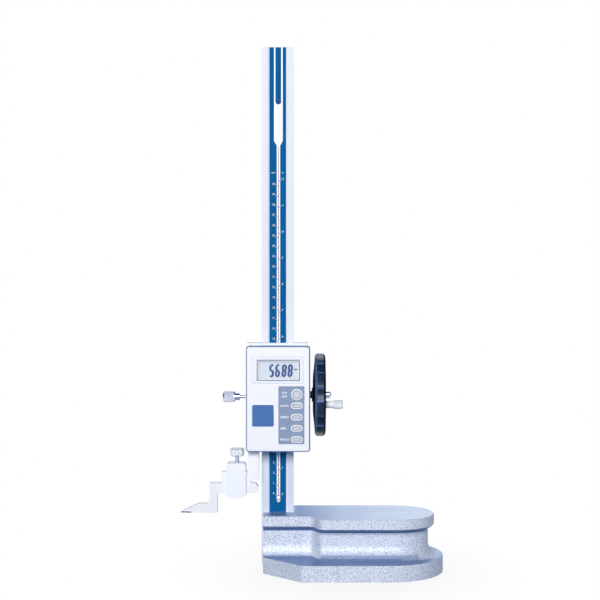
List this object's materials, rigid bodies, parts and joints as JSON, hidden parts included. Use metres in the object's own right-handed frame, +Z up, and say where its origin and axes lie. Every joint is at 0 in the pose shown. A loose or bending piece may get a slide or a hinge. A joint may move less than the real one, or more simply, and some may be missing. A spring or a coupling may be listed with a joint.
{
  "type": "height gauge",
  "caption": "Digital height gauge: grooved cast iron base, scaled beam with a rack, sliding display unit with a handwheel and keys, lock screw and an offset scriber in a clamp.",
  "frame": {"origin": "on the base's underside, below the middle of the beam's front face", "axes": "+Z up along the beam, +X to the right along the base, +Y away from the reader"},
  "size_m": [0.2521, 0.113, 0.505],
  "materials": {
    "hammered_paint": "silver-blue hammered paint on cast iron",
    "ground_steel": "satin ground, pale",
    "satin_steel": "satin plated, pale",
    "bright_steel": "bright plated",
    "black_steel": "black oxide",
    "rack_steel": "machined",
    "scale_blue": "printed blue film on a rigid strip",
    "gib_brass": "milled",
    "bush_brass": "sintered bronze",
    "white_plastic": "fine satin moulding",
    "window_clear": "clear acrylic",
    "lcd_glass": "pale liquid crystal panel",
    "dark_plastic": "moulded",
    "board_green": "circuit board",
    "foam_black": "foam block",
    "keypad_grey": "printed overlay",
    "bezel_white": "glossy moulding",
    "cover_blue": "satin moulding",
    "wheel_black": "polished black moulding",
    "carbide_dark": "ground hard metal"
  },
  "bodies": {
    "base": {"base_casting": "hammered_paint", "beam_screws": "black_steel", "beam": "ground_steel", "scale_strip": "scale_blue", "rack_strip": "rack_steel", "rack_screws": "bright_steel", "stop_screw": "black_steel"},
    "slider": {"slider_frame": "satin_steel", "gib_strip": "gib_brass", "gib_screws": "black_steel", "rear_plate": "satin_steel", "plate_screws": "black_steel", "gear_case": "satin_steel", "gear_case_screws": "black_steel", "shaft_bushes": "bush_brass", "display_housing": "white_plastic", "display_screws": "bright_steel", "display_window": "window_clear", "lcd_panel": "lcd_glass", "lcd_carrier": "dark_plastic", "circuit_board": "board_green", "board_spacers": "foam_black", "sensor_board": "board_green", "key_switches": "dark_plastic", "keypad_panel": "keypad_grey", "button_bezels": "bezel_white", "battery_cover": "cover_blue", "battery": "bright_steel", "battery_holder": "dark_plastic", "clamp_stirrup": "satin_steel", "clamp_pad": "satin_steel"},
    "wheel": {"handwheel": "wheel_black", "wheel_shaft": "bright_steel", "pinion": "rack_steel", "wheel_nut": "bright_steel", "crank_pin": "black_steel"},
    "crank": {"crank_handle": "bright_steel"},
    "lock": {"lock_screw": "bright_steel"},
    "scriber": {"scriber": "satin_steel", "carbide_tip": "carbide_dark"},
    "clamp_knob": {"clamp_screw": "bright_steel"},
    "on_off_key": {"on_off_button": "bezel_white"},
    "unit_key": {"unit_button": "bezel_white"},
    "zero_key": {"zero_button": "bezel_white"},
    "abs_key": {"abs_button": "bezel_white"},
    "hold_key": {"hold_button": "bezel_white"}
  },
  "joints": [
    {"name": "slider_lift", "type": "slide", "parent": "base", "child": "slider", "axis": [0, 0, 1], "range_m": [-0.05688, 0.24312]},
    {"name": "wheel_spin", "type": "hinge", "parent": "slider", "child": "wheel", "pos_m": [0, 0.017, 0.1669], "axis": [1, 0, 0], "range_deg": [-410, 1745]},
    {"name": "crank_spin", "type": "hinge", "parent": "wheel", "child": "crank", "pos_m": [0.05, -0.006, 0.1593], "axis": [1, 0, 0], "continuous": true},
    {"name": "lock_turn", "type": "hinge", "parent": "slider", "child": "lock", "pos_m": [-0.04, 0.005, 0.1659], "axis": [-1, 0, 0], "range_deg": [0, 720]},
    {"name": "clamp_turn", "type": "hinge", "parent": "slider", "child": "clamp_knob", "pos_m": [-0.0386, -0.0125, 0.11], "axis": [0, 0, 1], "range_deg": [0, 720]},
    {"name": "scriber_slide", "type": "slide", "parent": "slider", "child": "scriber", "axis": [1, 0, 0], "range_m": [-0.01, 0.003]},
    {"name": "on_off_press", "type": "slide", "parent": "slider", "child": "on_off_key", "axis": [0, 1, 0], "range_m": [0, 0.0006], "stiffness_N_per_m": 500},
    {"name": "unit_press", "type": "slide", "parent": "slider", "child": "unit_key", "axis": [0, 1, 0], "range_m": [0, 0.0006], "stiffness_N_per_m": 500},
    {"name": "zero_press", "type": "slide", "parent": "slider", "child": "zero_key", "axis": [0, 1, 0], "range_m": [0, 0.0006], "stiffness_N_per_m": 500},
    {"name": "abs_press", "type": "slide", "parent": "slider", "child": "abs_key", "axis": [0, 1, 0], "range_m": [0, 0.0006], "stiffness_N_per_m": 500},
    {"name": "hold_press", "type": "slide", "parent": "slider", "child": "hold_key", "axis": [0, 1, 0], "range_m": [0, 0.0006], "stiffness_N_per_m": 500}
  ],
  "couplings": [
    {"joint": "wheel_spin", "follows": "slider_lift", "rad_per_m": 125}
  ]
}
